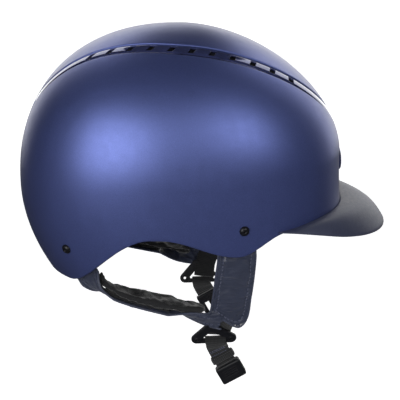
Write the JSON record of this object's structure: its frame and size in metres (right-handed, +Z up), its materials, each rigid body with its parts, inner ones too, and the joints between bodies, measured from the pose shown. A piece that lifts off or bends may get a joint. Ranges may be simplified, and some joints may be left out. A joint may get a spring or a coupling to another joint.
{
  "type": "equestrian riding helmet",
  "caption": "Riding helmet with a matte shell, crown panel between gloss vent trims, moulded peak, padded liner and a swinging leather harness with side-release buckle.",
  "frame": {"origin": "middle of the head opening, level with the brow and the root of the peak", "axes": "+X to the front (peak), +Y to the wearer's left, +Z up through the crown"},
  "size_m": [0.315, 0.216, 0.2945],
  "materials": {
    "shell": "matte metallic lacquer",
    "gloss": "high gloss",
    "peak": "matte, fine grain",
    "foam": "matte",
    "lining": "soft knit",
    "leather": "soft satin, stitched",
    "webbing": "woven",
    "plastic": "moulded",
    "screw": "black, domed",
    "steel": "plain"
  },
  "bodies": {
    "helmet": {"outer_shell": "shell", "crown_panel": "shell", "right_vent_trim": "gloss", "left_vent_trim": "gloss", "right_vent_mesh": "plastic", "left_vent_mesh": "plastic", "rear_vent_grille": "plastic", "front_badge": "gloss", "peak": "peak", "impact_liner": "foam", "brow_pad": "lining", "nape_pad": "lining", "right_side_pad": "lining", "left_side_pad": "lining", "crown_pad": "lining", "right_front_screw": "screw", "right_front_nut": "steel", "right_front_anchor_strap": "webbing", "left_front_screw": "screw", "left_front_nut": "steel", "left_front_anchor_strap": "webbing", "right_rear_screw": "screw", "right_rear_nut": "steel", "right_rear_anchor_strap": "webbing", "left_rear_screw": "screw", "left_rear_nut": "steel", "left_rear_anchor_strap": "webbing"},
    "right_harness": {"right_front_webbing": "webbing", "right_rear_webbing": "webbing", "right_leather_pad": "leather", "right_front_lining": "lining", "right_rear_lining": "lining", "right_strap_divider": "plastic"},
    "left_harness": {"left_front_webbing": "webbing", "left_rear_webbing": "webbing", "left_leather_pad": "leather", "left_front_lining": "lining", "left_rear_lining": "lining", "left_strap_divider": "plastic"},
    "right_chin_strap": {"right_chin_webbing": "webbing", "right_strap_keeper": "webbing", "buckle_socket": "plastic"},
    "left_chin_strap": {"left_chin_webbing": "webbing", "buckle_plug": "plastic"},
    "front_prong": {"buckle_front_prong": "plastic"},
    "rear_prong": {"buckle_rear_prong": "plastic"}
  },
  "joints": [
    {"name": "right_harness_swing", "type": "hinge", "parent": "helmet", "child": "right_harness", "pos_m": [0.0385, -0.0935, -0.02], "axis": [0.9562, -0.207, 0.207], "range_deg": [-25, 22], "stiffness_Nm_per_rad": 0.3},
    {"name": "left_harness_swing", "type": "hinge", "parent": "helmet", "child": "left_harness", "pos_m": [0.0385, 0.0935, -0.02], "axis": [-0.9562, -0.207, -0.207], "range_deg": [-25, 22], "stiffness_Nm_per_rad": 0.3},
    {"name": "right_chin_swing", "type": "hinge", "parent": "right_harness", "child": "right_chin_strap", "pos_m": [0.023, -0.068, -0.108], "axis": [1, 0, 0], "range_deg": [-55, 35]},
    {"name": "left_chin_swing", "type": "hinge", "parent": "left_harness", "child": "left_chin_strap", "pos_m": [0.023, 0.068, -0.108], "axis": [-1, 0, 0], "range_deg": [-55, 35]},
    {"name": "front_prong_flex", "type": "hinge", "parent": "left_chin_strap", "child": "front_prong", "pos_m": [0.04107, 0.06895, -0.12467], "axis": [0, 1, 0], "range_deg": [0, 10], "stiffness_Nm_per_rad": 0.05},
    {"name": "rear_prong_flex", "type": "hinge", "parent": "left_chin_strap", "child": "rear_prong", "pos_m": [0.02641, 0.06895, -0.13246], "axis": [0, -1, 0], "range_deg": [0, 10], "stiffness_Nm_per_rad": 0.05}
  ]
}
